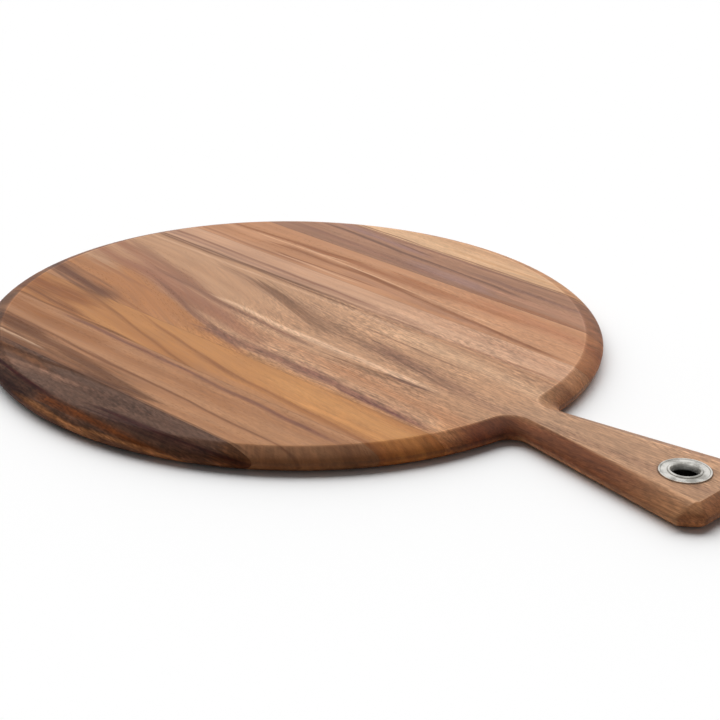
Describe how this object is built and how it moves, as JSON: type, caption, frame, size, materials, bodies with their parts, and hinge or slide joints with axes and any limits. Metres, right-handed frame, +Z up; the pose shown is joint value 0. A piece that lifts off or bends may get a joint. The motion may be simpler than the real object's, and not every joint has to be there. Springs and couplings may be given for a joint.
{
  "type": "serving board",
  "caption": "Round wooden serving board glued up from staves, with a bevelled rim, one flared handle and a metal hanging eyelet set in the handle's end.",
  "frame": {"origin": "centre of the disc, on the flat face that the board rests on", "axes": "+X along the handle to its end, +Z up through the board to the serving face"},
  "size_m": [0.481, 0.356, 0.0133],
  "materials": {
    "handle_stave_wood": "satin oil",
    "far_stave_1_wood": "satin oil",
    "far_stave_2_wood": "satin oil",
    "far_stave_3_wood": "satin oil",
    "far_stave_4_wood": "satin oil",
    "near_stave_1_wood": "satin oil",
    "near_stave_2_wood": "satin oil",
    "near_stave_3_wood": "satin oil",
    "eyelet_metal": "polished nickel plate"
  },
  "bodies": {
    "root": {"handle_stave": "handle_stave_wood", "far_stave_1": "far_stave_1_wood", "far_stave_2": "far_stave_2_wood", "far_stave_3": "far_stave_3_wood", "far_stave_4": "far_stave_4_wood", "near_stave_1": "near_stave_1_wood", "near_stave_2": "near_stave_2_wood", "near_stave_3": "near_stave_3_wood", "eyelet": "eyelet_metal", "eyelet_washer": "eyelet_metal"}
  },
  "joints": []
}
